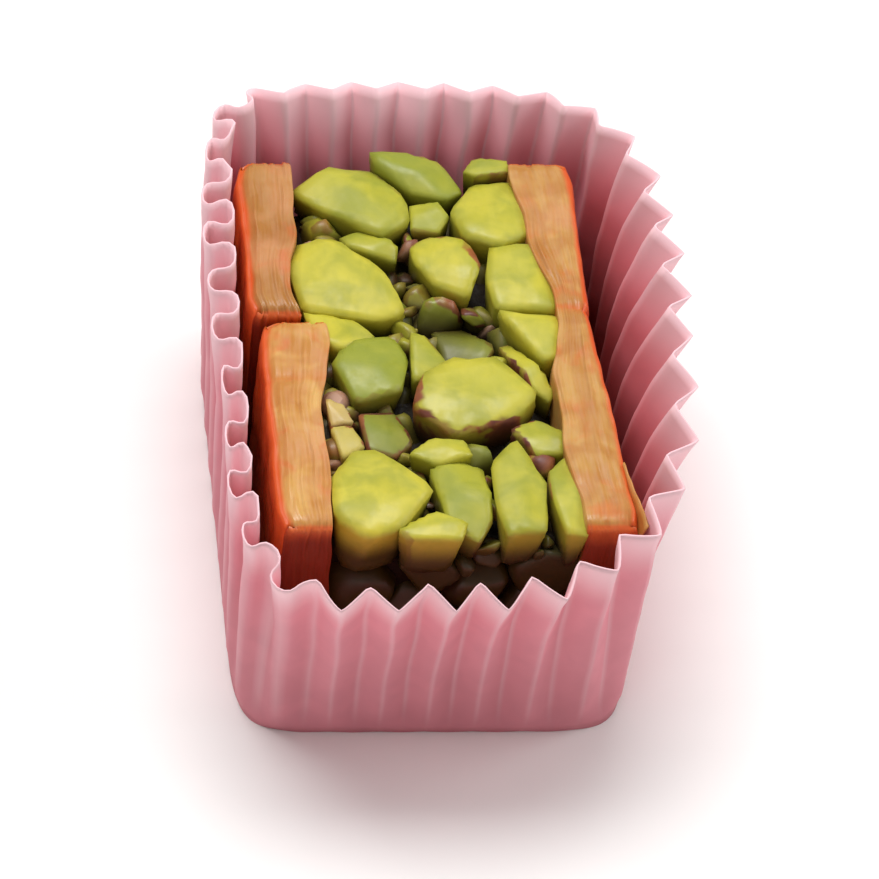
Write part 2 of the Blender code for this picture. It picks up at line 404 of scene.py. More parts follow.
def quarter_outline(half_width, half_depth, squareness):
    """A quarter of a superellipse from the X axis to the Y axis: points with their share of its length."""
    steps = 300
    points = []
    for i in range(steps + 1):
        angle = math.pi / 2 * i / steps
        x = half_width * max(0.0, math.cos(angle)) ** (2 / squareness)
        y = half_depth * math.sin(angle) ** (2 / squareness)
        points.append(Vector((x, y)))
    lengths = [0.0]
    for before, after in zip(points, points[1:]):
        lengths.append(lengths[-1] + (after - before).length)
    return [(length / lengths[-1], point) for length, point in zip(lengths, points)]


def point_at(outline, share):
    for (low, before), (high, after) in zip(outline, outline[1:]):
        if share <= high:
            return before.lerp(after, (share - low) / (high - low))
    return outline[-1][1].copy()


def outward(point, half_width, half_depth, squareness):
    x = (point.x / half_width) ** (squareness - 1) / half_width
    y = (point.y / half_depth) ** (squareness - 1) / half_depth
    return Vector((x, y)).normalized()


def case_folds():
    """The case's wall lines in turn round it, with where each lies on its flute."""
    folds = []
    for side, end, flutes, spread, squareness in QUARTERS:
        floor_half = FLOOR_RIGHT if side > 0 else FLOOR_LEFT
        rim_half = RIM_RIGHT if side > 0 else RIM_LEFT
        rim_depth = RIM_BACK if end > 0 else RIM_FRONT
        floor = quarter_outline(floor_half, FLOOR_DEPTH, FLOOR_SQUARENESS)
        rim = quarter_outline(rim_half, rim_depth, squareness)
        steps = flutes * FLUTE_SAMPLES
        order = range(steps) if side * end > 0 else range(steps, 0, -1)
        for i in order:
            share = i / steps
            share *= 1 + spread * (1 - share)
            foot, top = point_at(floor, share), point_at(rim, share)
            way = outward(top, rim_half, rim_depth, squareness)
            turned = [Vector((side * p.x, end * p.y)) for p in (foot, top, way)]
            phase = 2 * math.pi * i / FLUTE_SAMPLES
            pressed = max(0.0, -turned[2].x) ** 2
            crispness = SHARP_FOLD + (ROUND_FOLD - SHARP_FOLD) * pressed
            wave = math.asin(crispness * math.cos(phase)) / math.asin(crispness)
            curl = CURL * pressed * math.sin(2 * phase) * side * end
            folds.append(Fold(*turned, wave, curl, len(folds)))
    return folds


def flute_number(fold):
    return (fold.count + FLUTE_SAMPLES // 2) // FLUTE_SAMPLES


def wall_point(fold, height, depth):
    """A point on a wall line, at a share of the paper's length up the wall."""
    flare = FLARE_STRAIGHT * height + (1 - FLARE_STRAIGHT) * height**3
    reach = (fold.rim - fold.foot).length
    rise = math.sqrt(WALL_LENGTH**2 - reach**2)
    lean = math.atan2(reach * (FLARE_STRAIGHT + 3 * (1 - FLARE_STRAIGHT) * height**2), rise)
    swing = fold.wave * depth / 2 * smooth_step(0, 0.1, height)
    swing *= FLUTE_AT_FOOT + (1 - FLUTE_AT_FOOT) * height
    flat = fold.foot.lerp(fold.rim, flare)
    place = Vector((flat.x, flat.y, rise * height))
    uneven = 0.5 * MM * ripple(place, 11 * MM) * height + 0.16 * MM * ripple(place, 3 * MM, 4) * height
    flat += fold.out * ((swing + uneven) * math.cos(lean))
    across = Vector((-fold.out.y, fold.out.x))
    curl = fold.curl * (1 + 0.8 * ripple(place, 8 * MM, 7))
    flat += across * ((curl + 0.45 * MM * ripple(place, 6 * MM, 9)) * height)
    return Vector((flat.x + CASE_X, flat.y + CASE_Y, rise * height - swing * math.sin(lean)))


def paper_material(name, settings, soak_and_shade_strength):
    """Dyed paper. The last argument is how much of the syrup stain and the painted shade low on the wall
    shows on this side, from 0 to 1.
    """
    made, tree, shader = new_material(name, {"Specular IOR Level": 0.25})
    fibres = speckle(tree, object_place(tree), 0.25 * MM, 3.0, 0.7)
    deep = tuple(c * 0.86 for c in settings.paper)
    base = tint(tree, settings.paper, mottle(tree, 4 * MM, 0.3, 0.7), 0.45, deep)
    # Painted glow: paper near the rim is lightened as if light shone through it.
    base = mix(tree, attribute(tree, "painted_rim_glow"), base, settings.rim)
    base = tint(tree, base, attribute(tree, "crease"), 0.35, settings.rim)
    # Painted shade and syrup: darker and redder low on the wall, in patches.
    soak_and_shade = attribute(tree, "soak_and_shade")
    patchy = mottle(tree, 7 * MM, 0.35, 0.65)
    wet_and_shaded = calc(tree, "MULTIPLY", soak_and_shade, calc(tree, "MULTIPLY_ADD", patchy, 0.3 * soak_and_shade_strength, 0.7 * soak_and_shade_strength))
    base = mix(tree, wet_and_shaded, base, settings.soaked_and_shaded)
    feed(tree, shader, base, spread(tree, soak_and_shade, 0, 1, 0.82, 0.6), fibres, 0.02 * MM, 0.4)
    return made


def grow_ring(case, edges, lower, place_of):
    """Extrudes the open edges and moves the new points where place_of puts each one's fold."""
    grown = bmesh.ops.extrude_edge_only(case, edges=edges)["geom"]
    edges = [item for item in grown if isinstance(item, bmesh.types.BMEdge) and item.is_boundary]
    upper = {}
    for vertex in {end for edge in edges for end in edge.verts}:
        below = next(e.other_vert(vertex) for e in vertex.link_edges if e.other_vert(vertex) in lower)
        upper[vertex] = lower[below]
    for vertex, fold in upper.items():
        vertex.co = place_of(fold)
    return edges, upper


def make_case(settings):
    folds = case_folds()
    draw = random.Random(11)
    flutes = 1 + max(flute_number(fold) for fold in folds)
    depths = [settings.flute_depth * draw.uniform(0.8, 1.15) for _ in range(flutes)]
    case = bmesh.new()
    crease = case.verts.layers.float.new("crease")
    soak_and_shade = case.verts.layers.float.new("soak_and_shade")
    painted_rim_glow = case.verts.layers.float.new("painted_rim_glow")

    def floor_place(fold, share):
        pleat = 0.06 * MM * (1 + fold.wave) * smooth_step(0.85, 1, share)
        return Vector((share * fold.foot.x + CASE_X, share * fold.foot.y + CASE_Y, pleat))

    ring = bmesh.ops.create_circle(case, cap_ends=True, segments=len(folds), radius=1)["verts"]
    for vertex, fold in zip(ring, folds):
        vertex.co = floor_place(fold, FLOOR_RINGS[0])
    edges = [edge for edge in case.edges if edge.is_boundary]
    lower = dict(zip(ring, folds))
    for share in (*FLOOR_RINGS[1:], 1.0):
        edges, lower = grow_ring(case, edges, lower, lambda fold: floor_place(fold, share))
    # The floor takes the syrup stain and painted shade in full.
    for vertex in case.verts:
        vertex[soak_and_shade] = 1
    for step in range(1, WALL_RINGS + 1):
        height = step / WALL_RINGS
        edges, lower = grow_ring(
            case, edges, lower, lambda fold: wall_point(fold, height, depths[flute_number(fold) % flutes])
        )
        for vertex, fold in lower.items():
            vertex[crease] = smooth_step(0.75, 1, abs(fold.wave)) * smooth_step(0, 0.2, height)
            # Syrup stain and painted shade fade out up the wall.
            vertex[soak_and_shade] = 1 - smooth_step(0.2, 0.85, height)
            # Painted glow near the rim.
            vertex[painted_rim_glow] = smooth_step(0.72, 1, height)
    bmesh.ops.recalc_face_normals(case, faces=case.faces)
    # The inside copy takes the syrup stain and painted shade in full, the outside only a fifth of it.
    outside = paper_material("Case paper, outside", settings, 0.2)
    piece = finish_piece("case", case, outside, ["paper_case"])
    piece.data.materials.append(paper_material("Case paper, inside", settings, 1.0))
    wall = piece.modifiers.new("Paper", "SOLIDIFY")
    wall.thickness = settings.thickness
    wall.material_offset = 1
    wall.material_offset_rim = 1
    wall.offset = -1 if piece.data.polygons[0].normal.z < 0 else 1
    return piece


# ---------------------------------------------------------------- crusts

SPLAY = 2.4 * MM
SPLAY_FOOT = 0.2
NUTS_LEFT, NUTS_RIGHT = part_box("left_crust_back")[1].x, RIGHT_LOW.x
CRUST_CELL = 0.55 * MM
CRUST_ROOM = Vector((0.15, 0.15, 0)) * MM  # left for the relief inside a slab's solid
KNIFE_CUT_Y = (LEFT_HIGH.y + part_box("left_crust_back")[0].y) / 2


def splay(place):
    """How far the bar is pushed towards +X at a place, most at the top front corner of the bottom crust."""
    across = min(1.0, max(0.0, (place.x - NUTS_LEFT) / (NUTS_RIGHT - NUTS_LEFT)))
    forward = min(1.0, max(0.0, (KNIFE_CUT_Y - place.y) / (KNIFE_CUT_Y - BAR_FRONT)))
    up = (place.z - BAR_FLOOR) / (BAR_TOP - BAR_FLOOR)
    return SPLAY * across * forward * (SPLAY_FOOT + (1 - SPLAY_FOOT) * up)


def crust_material(name, settings, lightness, warmth):
    """Phyllo seen on edge and from outside. Warmth pulls it from pale towards its golden colour."""
    made, tree, shader = new_material(
        name,
        {
            "Specular IOR Level": 0.45,
            "Subsurface Weight": 0.12,
            "Subsurface Radius": (0.8, 0.35, 0.15),
            "Subsurface Scale": 1.5 * MM,
            "Coat Weight": 0.15,
            "Coat Roughness": 0.35,
        },
    )
    pale = tuple(min(1, c * lightness) for c in settings.pale)
    golden = tuple(c * lightness for c in settings.golden)
    leaves = use_group(tree, leaf_group(), Leaf=settings.leaf)
    banded = calc(tree, "MULTIPLY_ADD", leaves.outputs["Bands"], 0.35, warmth)
    base = mix(tree, banded, pale, golden)
    base = tint(tree, base, mottle(tree, 4 * MM, 0.38, 0.62), 0.65, golden)
    base = tint(tree, base, mottle(tree, 7 * MM, 0.46, 0.7), 0.65, settings.rosy)
    base = tint(tree, base, leaves.outputs["Lines"], 0.06, golden)
    base = tint(tree, base, mottle(tree, 3.4 * MM, 0.52, 0.74), 0.4, settings.baked)
    base = mix(tree, attribute(tree, "bake"), base, settings.baked)
    # Painted shade and syrup on the cut ends and low on the sides.
    base = mix(tree, attribute(tree, "soak_and_shade"), base, settings.soaked_and_shaded)
    film = use_group(tree, syrup_group(), Size=2.5 * MM, Wet=0.3, Dry=0.62)
    relief = calc(tree, "MULTIPLY", leaves.outputs["Lines"], 0.8)
    relief = calc(tree, "ADD", relief, calc(tree, "MULTIPLY", film.outputs["Height"], 0.4))
    feed(tree, shader, base, film.outputs["Roughness"], relief, 0.05 * MM, 0.3)
    return made


def leaf_relief(depth, place, seed, leaf):
    """How far a leaf's edge stands out of a cut face, given how deep in the crust it lies."""
    depth += 0.35 * MM * ripple(place, 8 * MM, seed)
    number = math.floor(depth / leaf)
    share = depth / leaf - number
    edge = min(share, 1 - share)
    lift = 0.2 * MM * ripple(place, 5 * MM, seed + 3.1 * number)
    return lift - 0.03 * MM * (1 - smooth_step(0, 0.3, edge))


def make_crust(name, node, inner_side, settings, material, dents, score=(0, 0), rounding=0.6 * MM):
    """A slab of leaves. inner_side is the side of it, -1 or 1 along X, that touches the nuts.

    Each dent is where along the bar from its middle, how deep the nuts press in, and its length. The
    score is where the knife marked the slab, and how strongly from 0 to 1.
    """
    low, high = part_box(node)
    low, high = low + CRUST_ROOM, high - CRUST_ROOM - Vector((0, 0, 0.1)) * MM
    if inner_side < 0:
        high.x = low.x + LEFT_HIGH.x - LEFT_LOW.x - 2 * CRUST_ROOM.x
    seed = 10 * low.x / MM + low.y / MM
    slab = block(low, high, (settings.leaf / 3.4, CRUST_CELL, CRUST_CELL))
    bake_layer = slab.verts.layers.float.new("bake")
    soak_and_shade_layer = slab.verts.layers.float.new("soak_and_shade")
    inner_x = high.x if inner_side > 0 else low.x
    thickness = high.x - low.x
    for vertex in slab.verts:
        place = vertex.co.copy()
        x, y, z = place
        depth = abs(x - inner_x)
        outer = depth / thickness
        relief = leaf_relief(depth, place, seed, settings.leaf)
        end = min(y - low.y, high.y - y)
        top = high.z - z
        bake = smooth_step(0.88, 1.0, outer + 0.04 * ripple(place, 4 * MM, seed))
        if top < ON_FACE:
            vertex.co.z += relief - rounding * smooth_step(0.72, 1, outer) ** 2
            vertex.co.z -= 0.5 * MM * (1 - smooth_step(0, 1.4 * MM, end)) ** 2
        if end < ON_FACE:
            out = 1 if y > (low.y + high.y) / 2 else -1
            vertex.co.y += out * (relief - 0.4 * MM * (1 - smooth_step(0, 1.2 * MM, top)) ** 2)
            vertex.co.y -= out * 0.8 * rounding * smooth_step(0.75, 1, outer) ** 2
        bow = 0.35 * MM * ripple(place, 9 * MM, seed) + 0.1 * MM * ripple(place, 2 * MM, seed)
        squeeze = 0.5 * MM * (1 - smooth_step(0, 3 * MM, end))
        squeeze += 0.4 * MM * (1 - smooth_step(0, 2 * MM, top)) ** 2
        vertex.co.x -= inner_side * outer * (bow - squeeze)
        pressed = sum(
            depth_in * (1 - smooth_step(0, length / 2, abs((y - MIDDLE_Y) / MM - along)))
            for along, depth_in, length in dents
        )
        pressed += 0.35 * ripple(place, 3.5 * MM, seed + 8)
        vertex.co.x -= inner_side * (1 - outer) * pressed * MM
        mark = score[1] * (1 - smooth_step(0, 0.55 * MM, abs(y - MIDDLE_Y - score[0] * MM)))
        if top < ON_FACE:
            vertex.co.z -= 0.5 * MM * mark * smooth_step(0.2, 0.9, outer)
        notch = mark * smooth_step(0.85, 1, outer) * smooth_step(14 * MM, 20 * MM, z)
        vertex.co.x += inner_side * 0.5 * MM * notch
        rim = 1 - smooth_step(0, 0.55 * MM, end)
        # Painted shade with syrup: the cut ends darken below their top edge, and the sides darken further
        # down.
        wet_and_shaded = smooth_step(0.4 * MM, 2.6 * MM, top + 1.0 * MM * ripple(place, 3 * MM, seed))
        vertex[bake_layer] = max(bake, 0.8 * rim, 0.7 * mark)
        if inner_side < 0:
            vertex.co.x += splay(Vector((high.x, y, z)))
        vertex[soak_and_shade_layer] = 0.9 * wet_and_shaded * rim + 0.4 * smooth_step(2 * MM, 12 * MM, top) * (1 - rim)
    return finish_piece(name, slab, material, [node])


# The leaf that comes away from the bottom crust's outer face at its front end, in millimetres: where
# along the bar from its middle it starts and ends, how far down it reaches, and how far it leans out
LEAF_START, LEAF_END = -23.4, -15.5
LEAF_REACH = 5.0
LEAF_LEAN = 0.8


def make_loose_leaf(material):
    leaf = bmesh.new()
    face = RIGHT_LOW.x + LEFT_HIGH.x - LEFT_LOW.x - 0.6 * MM
    for vertex in bmesh.ops.create_grid(leaf, x_segments=18, y_segments=8, size=0.5)["verts"]:
        share, height = vertex.co.x + 0.5, vertex.co.y + 0.5
        torn = 0.25 * ripple(Vector((share, 1, 5)), 0.16) * height
        y = MIDDLE_Y + (LEAF_START + (LEAF_END - LEAF_START) * share) * MM
        z = BAR_TOP + (torn - LEAF_REACH * (1 - height)) * MM
        lean = LEAF_LEAN * (1 - share) * height**2 - 0.35 * smooth_step(0.6, 1, 1 - height)
        place = Vector((face, y, z))
        place.x += lean * MM + 0.15 * MM * ripple(place, 2.5 * MM) + splay(Vector((RIGHT_HIGH.x, y, z)))
        vertex.co = place
    piece = finish_piece("loose_leaf", leaf, material)
    sheet = piece.modifiers.new("Leaf", "SOLIDIFY")
    sheet.thickness = 0.14 * MM
    sheet.offset = 0
    return piece


# ---------------------------------------------------------------- nuts

CUT_SHARPNESS = 38  # how crisp the edges of a cut are: the power of the soft maximum
NUT_GAP = 0.15 * MM
OUTLINE_GROWTH = 1.08  # makes up for the rounding of the outlines
CORE_INSET = Vector((0.1, 3.0, 0)) * MM
CORE_DEPTH = 4.5 * MM

# In millimetres: the sizes of the chips and how far below the cut face they lie, and the sizes and
# spacing of the filler kernels
CHIP_COUNT = 95
CHIP_SIZES = (0.8, 3.6)
CHIP_DEPTHS = (2.5, 5.5)
CREAM_SHARE = 0.15  # how many of the chips are dry flakes
FILLER_COLUMNS = 4
FILLER_ROWS = 8
FILLER_PITCH = 5.1
FILLER_SIZES = (5.5, 8)
END_LAYERS = 3
END_PITCH = 5.4
END_SIZES = (5.5, 8.5)

# A knife cut through a kernel: the way it faces, how far it is from the kernel's middle, and
# whether it is really the kernel's own side, with its skin on
Cut = namedtuple("Cut", "way distance skin")
Nut = namedtuple("Nut", "centre half turn cuts tone brown fineness")

# A large kernel of the cut face that is turned up: its outline, in millimetres from the bar's middle,
# how far it lies below the face, its tilt about X and Y in degrees, its tone from pale to green, how
# brown its skin is, which sides of the outline still have skin, and its chops: the way each faces,
# its slope in degrees and how far from the kernel's middle it starts
TopNut = namedtuple("TopNut", "corners drop tilt tone brown skins chops")
TOP_NUTS = (
    TopNut(
        ((-10.8, 20.8), (-7.5, 23.2), (-3, 23.6), (-0.4, 19.5), (-0.2, 16.2), (-3, 14.4), (-8.3, 18.2)),
        0.2, (6, 5), 0.5, 0.2, (2,), ((60, 22, 1.2),),
    ),
    TopNut(
        ((-2.9, 24.8), (0, 25.2), (3.4, 24), (5.3, 20.8), (3.5, 19.4), (0.2, 20.4), (-2.4, 23)),
        0.1, (-4, 6), 0.8, 0.5, (0, 1), ((-110, 30, 0.8),),
    ),
    TopNut(
        ((4, 17.2), (6.4, 21.6), (9.6, 21.8), (11.2, 18.4), (10.9, 14.2), (8, 12.7), (5, 13.8)),
        0.0, (0, 0), 0.3, 0.1, (), ((160, 16, 2.4),),
    ),
    TopNut(
        ((7.2, 12.4), (12.4, 12.6), (12.9, 4.6), (7.1, 4.8), (6.5, 8.5)),
        0.0, (0, 0), 0.22, 0.1, (), (),
    ),
    TopNut(
        ((12.9, 3.9), (11.9, -1.4), (10.4, -1.9), (7.2, 4.1)),
        0.1, (0, 0), 0.2, 0.1, (), (),
    ),
    TopNut(
        ((0, 13.6), (1.6, 14.8), (4.4, 14.2), (5.9, 10.4), (4.8, 6.8), (1.4, 8.7), (0.1, 11)),
        0.5, (-6, -3), 0.2, 0.95, (0, 1, 2), ((-120, 24, 1.6),),
    ),
    TopNut(
        ((-11.7, 10), (-10.3, 13.5), (-7.2, 13.6), (-3.3, 10.5), (-1.5, 5.2), (-4.6, 3.9), (-10.6, 4.8)),
        0.1, (3, 2), 0.08, 0.1, (), ((35, 18, 1.6), (-100, 20, 2.6)),
    ),
    TopNut(
        ((-10.6, 4.4), (-5.8, 3.6), (-4.3, 1.8), (-7.6, -0.4), (-9.8, 0.8)),
        0.7, (-8, 0), 0.15, 0.1, (), (),
    ),
    TopNut(
        ((-6.6, 15), (-5, 15.6), (-1.4, 13.6), (-1.6, 11.2), (-3.6, 12.2), (-5.6, 12.6)),
        0.9, (8, -6), 0.45, 0.1, (), ((-60, 30, 0.8),),
    ),
    TopNut(
        ((0.2, 19), (2.8, 18.8), (3.7, 17), (2.6, 15.1), (0.1, 15.6)),
        0.8, (4, 0), 0.55, 0.3, (3,), (),
    ),
    TopNut(
        ((-8.6, -2), (-6.6, 1), (-3, 1.6), (-1.7, -1.4), (-2.8, -5.6), (-6.8, -6.6)),
        0.3, (-6, -6), 1.0, 0.2, (4,), ((80, 20, 1.8),),
    ),
    TopNut(
        ((-1.2, 1.4), (0.2, 1.8), (1.9, -1.6), (0, -3.6), (-1.6, -4)),
        0.7, (0, 8), 0.5, 0.4, (1,), ((20, 25, 0.5),),
    ),
    TopNut(
        ((-1.8, -7.6), (-0.7, -4.2), (2, -2), (6, -2.1), (9, -6.3), (6.6, -9.2), (1.4, -11)),
        0.0, (0, 0), 0.3, 0.9, (0, 6, 5), ((-90, 16, 2.6),),
    ),
    TopNut(
        ((-9.9, -17), (-7.6, -13.2), (-5.4, -13.4), (-1.7, -18.4), (-4.4, -22.8), (-7.3, -24), (-9.8, -21.8)),
        0.0, (0, 0), 0.1, 0.1, (), ((-80, 14, 2.8),),
    ),
    TopNut(
        ((-4.8, -23.2), (-1.5, -20.6), (0.9, -22.4), (0.4, -24.1), (-4, -24.2)),
        0.5, (6, 0), 0.2, 0.3, (4,), (),
    ),
    TopNut(
        ((-1.3, -15.2), (1, -14.2), (3.3, -15), (3.3, -21.4), (2.1, -23.8), (-0.4, -22.2)),
        0.5, (0, 3), 0.75, 0.5, (3,), ((170, 20, 1.0),),
    ),
    TopNut(
        ((-3, -13.4), (-1, -11.7), (2, -11.8), (2.3, -13.9), (-0.6, -14.9)),
        0.5, (4, -4), 0.4, 0.2, (), (),
    ),
    TopNut(
        ((3.8, -15.4), (6.3, -12.4), (8.2, -17.4), (7.4, -23.2), (4.1, -23.8), (3.6, -19)),
        0.1, (0, 4), 0.5, 0.2, (), ((185, 14, 0.8),),
    ),
    TopNut(
        ((8.6, -16.2), (10.6, -13.8), (12, -20.6), (10.9, -23.4), (8.9, -23.6), (8.4, -19)),
        0.2, (0, -4), 0.42, 0.6, (5,), ((-10, 18, 0.8),),
    ),
    TopNut(
        ((6.4, -10.2), (8.6, -8.9), (10.7, -10.4), (10.7, -13.2), (8, -13.4)),
        0.8, (-8, 4), 0.55, 0.7, (0, 4), (),
    ),
    TopNut(
        ((5.6, 22.8), (6.6, 24.4), (9.6, 24), (9.8, 22.4), (6.6, 22)),
        0.4, (0, 0), 0.6, 0.5, (3,), (),
    ),
    TopNut(
        ((6.8, 1.2), (8, 1.6), (11, -5), (10.2, -6.4), (9, -5.2)),
        0.5, (0, -10), 0.3, 1.0, (0, 4), (),
    ),
    TopNut(
        ((1.4, 5), (4.4, 5.4), (6.6, 1.4), (5, -1.4), (2.2, -0.8)),
        2.6, (-10, -12), 0.9, 1.0, (0, 1, 2, 3), ((90, 30, 0.8),),
    ),
    TopNut(
        ((-9.6, -6.6), (-7.9, -7), (-7.2, -9.2), (-9.4, -9.6)),
        1.0, (0, 14), -0.25, 1.0, (1, 3), (),
    ),
    TopNut(
        ((-9.4, -9.8), (-7.4, -9.6), (-6.6, -12), (-8.6, -13.4)),
        1.2, (10, 0), -0.2, 1.0, (0, 1), (),
    ),
    TopNut(
        ((-6.6, -7.4), (-3.4, -6.8), (-2.2, -10.6), (-4, -12.6), (-6.2, -11.8)),
        1.9, (-10, 8), 0.9, 1.0, (0, 1, 2, 3, 4), (),
    ),
)


def side_way(first, second, middle):
    """The direction out of an outline's side, seen from its middle, and the side's own middle."""
    along = second - first
    way = Vector((along.y, -along.x)).normalized()
    halfway = (first + second) / 2
    return (way if way.dot(halfway - middle) > 0 else -way), halfway


def shape_top_nut(spec, draw):
    """A kernel cut to its outline, with sides that narrow downwards."""
    corners = [Vector(corner) for corner in spec.corners]
    middle = sum(corners, Vector((0, 0))) / len(corners)
    corners = [middle + (corner - middle) * OUTLINE_GROWTH for corner in corners]
    spans = [max(abs((c - middle)[i]) for c in corners) for i in range(2)]
    depth = 1.5 + 0.22 * min(spans)
    turn = Euler([math.radians(a + draw.gauss(0, 3)) for a in (*spec.tilt, 0)]).to_matrix()
    cuts = [Cut(turn @ Vector((0, 0, 1)), depth * MM, False)]
    for i, first in enumerate(corners):
        way, halfway = side_way(first, corners[(i + 1) % len(corners)], middle)
        slope = math.radians(draw.uniform(0, 11))
        out = Vector((way.x * math.cos(slope), way.y * math.cos(slope), -math.sin(slope)))
        edge = Vector((*(halfway - middle), depth))
        cuts.append(Cut(out, out.dot(edge) * MM, i in spec.skins))
    chops = [
        (draw.uniform(0, 360), draw.uniform(7, 24), draw.uniform(0.1, 0.5) * min(spans)) for _ in range(2)
    ]
    for facing, slope, start in (*spec.chops, *chops):
        facing, slope = math.radians(facing), math.radians(slope)
        level = Vector((math.cos(facing), math.sin(facing), 0))
        out = level * math.sin(slope) + Vector((0, 0, math.cos(slope)))
        edge = level * start + Vector((0, 0, depth))
        cuts.append(Cut(out, out.dot(edge) * MM, False))
    height = (BAR_TOP / MM) - spec.drop - depth
    centre = Vector((middle.x + MIDDLE_X / MM, middle.y + MIDDLE_Y / MM, height)) * MM
    half = Vector((spans[0] * 2, spans[1] * 2, depth * 1.5)) * MM
    return Nut(centre, half, Matrix.Identity(3), cuts, spec.tone, spec.brown, 4)


def reach_of(nut, way):
    """How far a kernel reaches from its middle in a direction, before it is cut."""
    local = nut.turn.transposed() @ way
    return Vector([local[i] * nut.half[i] for i in range(3)]).length


def press_together(kept, nuts):
    """Cuts overlapping kernels along the plane where they meet. The kept ones stay as they are."""
    pressed = [list(nut.cuts) for nut in nuts]
    for i, first in enumerate(nuts):
        for j, second in enumerate([*nuts[i + 1 :], *kept]):
            apart = second.centre - first.centre
            distance = apart.length
            way = apart / distance
            near, far = reach_of(first, way), reach_of(second, -way)
            if near + far > distance - NUT_GAP:
                meet = (distance - NUT_GAP) / (near + far)
                pressed[i].append(Cut(way, near * meet, False))
                if i + 1 + j < len(nuts):
                    pressed[i + 1 + j].append(Cut(-way, far * meet, False))
    return [nut._replace(cuts=cuts) for nut, cuts in zip(nuts, pressed)]


def add_nut(mesh, nut, layers):
    """Shapes a ball into the kernel and marks its skin, tone and brownness on its points."""
    skin_layer, tone_layer, brown_layer, rim_layer = layers
    seed = 37 * (nut.centre.x + 2 * nut.centre.y + 3 * nut.centre.z) / MM
    for vertex in bmesh.ops.create_icosphere(mesh, subdivisions=nut.fineness, radius=1)["verts"]:
        stretched = nut.turn @ Vector([vertex.co[i] * nut.half[i] for i in range(3)])
        skinned, bare = 1.0, 0.0
        shares = [max(0.0, stretched.dot(cut.way) / cut.distance) for cut in nut.cuts]
        for cut, share in zip(nut.cuts, shares):
            if cut.skin:
                skinned += share**CUT_SHARPNESS
            else:
                bare += share**CUT_SHARPNESS
        second, first = sorted([1.0, *shares])[-2:]
        stretched *= (skinned + bare) ** (-1 / CUT_SHARPNESS)
        place = nut.centre + stretched
        bumps = 0.016 * ripple(place, 2.6 * MM, seed) + 0.007 * ripple(place, 0.9 * MM, seed)
        vertex.co = place + stretched * bumps
        vertex.co.x += splay(vertex.co)
        vertex[skin_layer] = skinned / (skinned + bare)
        vertex[tone_layer] = nut.tone
        vertex[brown_layer] = nut.brown
        vertex[rim_layer] = smooth_step(0.7, 1, second / first)


def make_nuts(name, nuts, material, replaced=()):
    heap = bmesh.new()
    layers = [heap.verts.layers.float.new(key) for key in ("skin", "tone", "brown", "rim")]
    for nut in nuts:
        add_nut(heap, nut, layers)
    return finish_piece(name, heap, material, replaced)


def chopped_nut(draw, place, sizes, cuts=(), fineness=3, cream=0.0):
    """A kernel piece of random size and turn, in millimetres, with random chops besides its given cuts."""
    half = Vector([draw.uniform(*sizes) / 2 for _ in range(3)]) * MM
    turn = Euler([draw.uniform(-math.pi, math.pi) for _ in range(3)]).to_matrix()
    whole = Nut(Vector(place) * MM, half, turn, (), 0, 0, fineness)
    chops = [*cuts]
    for _ in range(draw.randint(6, 9)):
        way = turn @ Vector([draw.gauss(0, 1) for _ in range(3)]).normalized()
        chops.append(Cut(way, draw.uniform(0.5, 0.85) * reach_of(whole, way), draw.random() < 0.25))
    tone = -1 if draw.random() < cream else draw.random()
    return whole._replace(cuts=chops, tone=tone, brown=draw.random())


def covers(nut, place):
    """Whether a place is inside a kernel or just by it."""
    return all(cut.way.dot(place - nut.centre) < 1.1 * cut.distance for cut in nut.cuts)


def chips(settings, top):
    """Small broken bits in the gaps between the kernels of the cut face."""
    draw = random.Random(settings.seed + 1)
    low, high = HEAP_LOW / MM, HEAP_HIGH / MM
    made = []
    while len(made) < CHIP_COUNT:
        place = [draw.uniform(low.x + 0.6, high.x - 0.6), draw.uniform(low.y + 0.6, high.y - 0.6)]
        place.append(BAR_TOP / MM - draw.uniform(*CHIP_DEPTHS))
        if not any(covers(nut, Vector(place) * MM) for nut in top):
            made.append(chopped_nut(draw, place, CHIP_SIZES, cream=CREAM_SHARE))
    return made


def filler_nuts(settings):
    """Kernels behind the two cut ends and below the gaps of the top, on jittered grids."""
    draw = random.Random(settings.seed)
    nuts = []
    low, high = HEAP_LOW / MM, HEAP_HIGH / MM
    for end, face_y in ((-1, BAR_FRONT / MM), (1, BAR_BACK / MM)):
        for i in range(FILLER_COLUMNS):
            for j in range(END_LAYERS):
                x = low.x + 2.9 + i * FILLER_PITCH + draw.uniform(-0.8, 0.8)
                z = low.z + 3.2 + j * END_PITCH + draw.uniform(-0.8, 0.8) + (2.4 if i % 2 else 0)
                inset = draw.uniform(2.0, 3.4)
                proud = draw.uniform(-0.9, 0.1)
                way = Vector((draw.uniform(-0.1, 0.1), end, draw.uniform(-0.1, 0.1)))
                cut = Cut(way, (inset + proud) * MM, False)
                place = (x, face_y - end * inset, min(z, high.z - 7.0))
                nuts.append(chopped_nut(draw, place, END_SIZES, [cut], 4 if end < 0 else 3))
    for i in range(FILLER_COLUMNS):
        for j in range(FILLER_ROWS):
            x = low.x + 2.8 + i * FILLER_PITCH + draw.uniform(-1.2, 1.2)
            y = BAR_FRONT / MM + 6 + j * FILLER_PITCH + draw.uniform(-1.2, 1.2)
            nuts.append(chopped_nut(draw, (x, y, high.z - draw.uniform(4.6, 6.4)), FILLER_SIZES))
    return nuts


